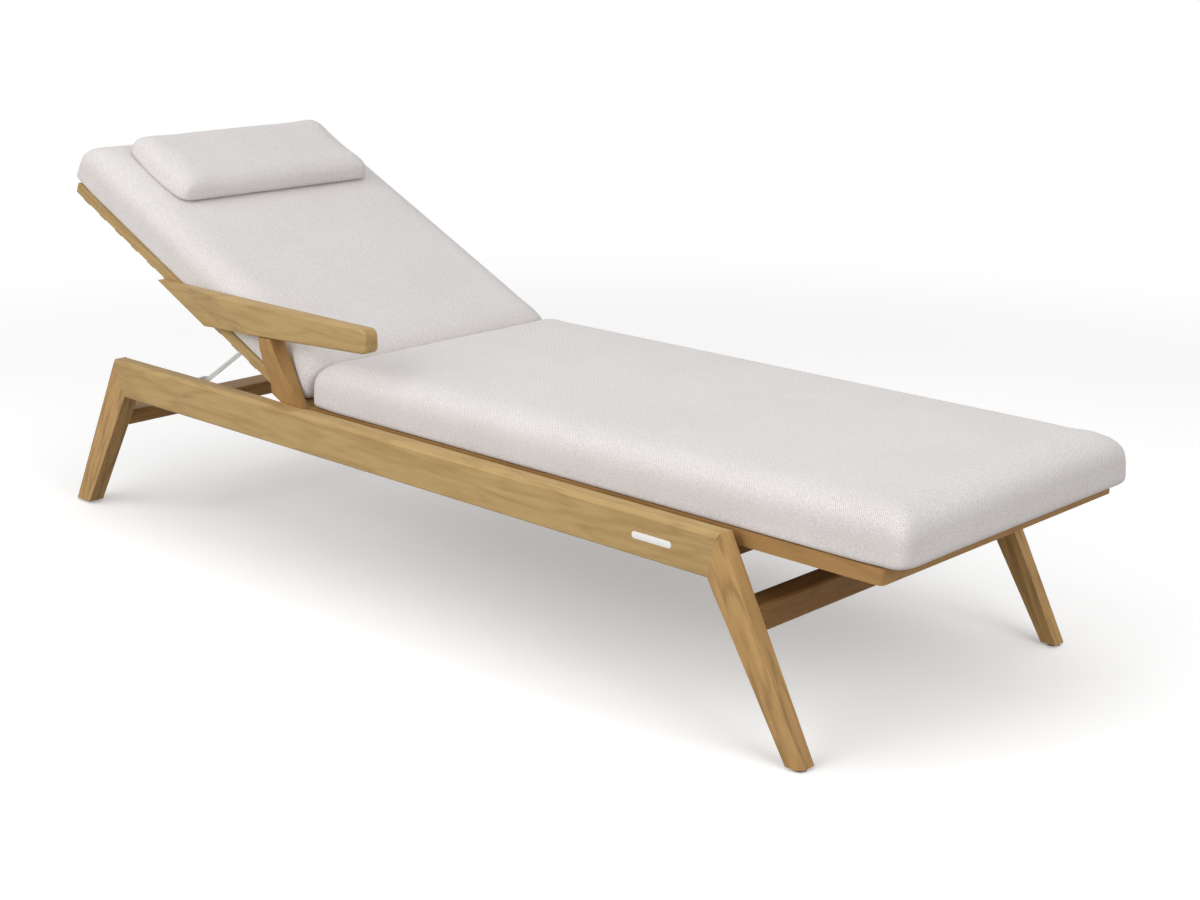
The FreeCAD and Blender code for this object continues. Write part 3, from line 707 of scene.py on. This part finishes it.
class LOUNGER_OT_timber(bpy.types.Operator):
    """Give every wooden piece its own run of teak grain"""

    bl_idname = "lounger.timber"
    bl_label = "Timber"

    def execute(self, context):
        sizes = context.scene.lounger_timber
        lean = context.scene.lounger_cushions.back_angle
        runs = (
            (LENGTHWISE, (0.0, 0.0, 0.0)),
            (CROSSWISE, (0.0, 0.0, math.radians(90.0))),
            (FRONT_LEGS, (0.0, -sizes.front_slope, 0.0)),
            (REAR_LEGS, (0.0, -sizes.rear_slope, 0.0)),
            (BACK_RAILS, (0.0, -lean, 0.0)),
            (("arm_post",), (0.0, -sizes.post_slope, 0.0)),
        )
        # The last pair darkens the stretcher, the bearers and the back's slats with painted shade
        tones = ((WARM, sizes.warm), (DEEP, sizes.deep), (PAINTED_SHADE_PIECES, sizes.painted_shade_tint))
        boards = [(name, turn) for names, turn in runs for name in names]
        for seed, (name, turn) in enumerate(boards, start=1):
            tone = next((tone for group, tone in tones if name in group), UNTINTED)
            lines = sizes.contrast if name in WARM else 1.0
            dress((name,), teak(name, turn, seed, tone, lines))
        return {"FINISHED"}


class LOUNGER_OT_fittings(bpy.types.Operator):
    """Finish the steel prop, its brackets and pins, and the glides under the feet"""

    bl_idname = "lounger.fittings"
    bl_label = "Fittings"

    def execute(self, context):
        dress(STEEL, satin_steel())
        dress(("foot_glides",), black_plastic())
        return {"FINISHED"}


class LOUNGER_OT_plate(bpy.types.Operator):
    """Set the small bare plate into the right side rail"""

    bl_idname = "lounger.plate"
    bl_label = "Plate"

    def execute(self, context):
        sizes = context.scene.lounger_plate
        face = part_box("side_rail_right")[0].y
        low = Vector((HINGE.x + sizes.start, face - sizes.proud, sizes.bottom))
        high = Vector((low.x + sizes.length, face + sizes.sunk, low.z + sizes.height))
        plate = start_block("bare_plate", low, high)
        round_edges(plate, lambda first, second: abs(first.y - second.y) > TOUCH, sizes.corner, 8)
        round_edges(plate, lambda first, second: max(first.y, second.y) < low.y + TOUCH, sizes.edge, 2)
        bpy.ops.object.mode_set(mode="OBJECT")
        plate.data.materials.append(pale_enamel())
        bpy.ops.object.shade_smooth_by_angle(angle=math.radians(40.0))
        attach(plate, "base")
        return {"FINISHED"}


class LOUNGER_OT_seat_cushion(bpy.types.Operator):
    """Make the seat cushion"""

    bl_idname = "lounger.seat_cushion"
    bl_label = "Seat cushion"

    def execute(self, context):
        sizes = context.scene.lounger_cushions
        low, high = own_frame_box("seat_cushion", 0.0)
        low.x -= sizes.seat_reach
        cover = cushion("seat_cushion", "base", low, high, 0.0, sizes)
        cover.data.materials.append(woven_cloth())
        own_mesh(cover)
        return {"FINISHED"}


class LOUNGER_OT_back_cushions(bpy.types.Operator):
    """Make the back cushion and the headrest on it"""

    bl_idname = "lounger.back_cushions"
    bl_label = "Back cushions"

    def execute(self, context):
        sizes = context.scene.lounger_cushions
        lean = sizes.back_angle
        cloth = woven_cloth()
        for name, reach in (("back_cushion", sizes.back_reach), ("headrest_cushion", 0.0)):
            low, high = own_frame_box(name, lean)
            high.x += reach
            cover = cushion(name, "back", low, high, lean, sizes)
            cover.data.materials.append(cloth)
            if reach:
                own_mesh(cover)
        return {"FINISHED"}


class LOUNGER_OT_stage(bpy.types.Operator):
    """Set up the floor, the soft lamps, the room and the camera"""

    bl_idname = "lounger.stage"
    bl_label = "Stage"

    def execute(self, context):
        sizes = context.scene.lounger_stage
        context.scene.view_settings.view_transform = "Standard"
        lay_floor(sizes)
        hang_lamps(sizes)
        light_room(sizes)
        set_camera(sizes)
        return {"FINISHED"}


class LOUNGER_PT_panel(bpy.types.Panel):
    """Steps that build the lounger's looks"""

    bl_label = "Sun lounger"
    bl_idname = "LOUNGER_PT_panel"
    bl_space_type = "VIEW_3D"
    bl_region_type = "UI"
    bl_category = "Lounger"

    def draw(self, context):
        for step in OPERATORS:
            self.layout.operator(step.bl_idname)


OPERATORS = (LOUNGER_OT_timber, LOUNGER_OT_fittings, LOUNGER_OT_plate, LOUNGER_OT_seat_cushion,
             LOUNGER_OT_back_cushions, LOUNGER_OT_stage)
SETTINGS = {
    "lounger_timber": LoungerTimber,
    "lounger_plate": LoungerPlate,
    "lounger_cushions": LoungerCushions,
    "lounger_stage": LoungerStage,
}


def register():
    for name, group in SETTINGS.items():
        bpy.utils.register_class(group)
        setattr(bpy.types.Scene, name, PointerProperty(type=group))
    for item in (*OPERATORS, LOUNGER_PT_panel):
        bpy.utils.register_class(item)


def unregister():
    for item in reversed((*OPERATORS, LOUNGER_PT_panel)):
        bpy.utils.unregister_class(item)
    for name, group in SETTINGS.items():
        delattr(bpy.types.Scene, name)
        bpy.utils.unregister_class(group)


def main():
    register()
    bpy.ops.lounger.timber()
    bpy.ops.lounger.fittings()
    bpy.ops.lounger.plate()
    bpy.ops.lounger.seat_cushion()
    bpy.ops.lounger.back_cushions()
    bpy.ops.lounger.stage()


if __name__ == "__main__":
    main()
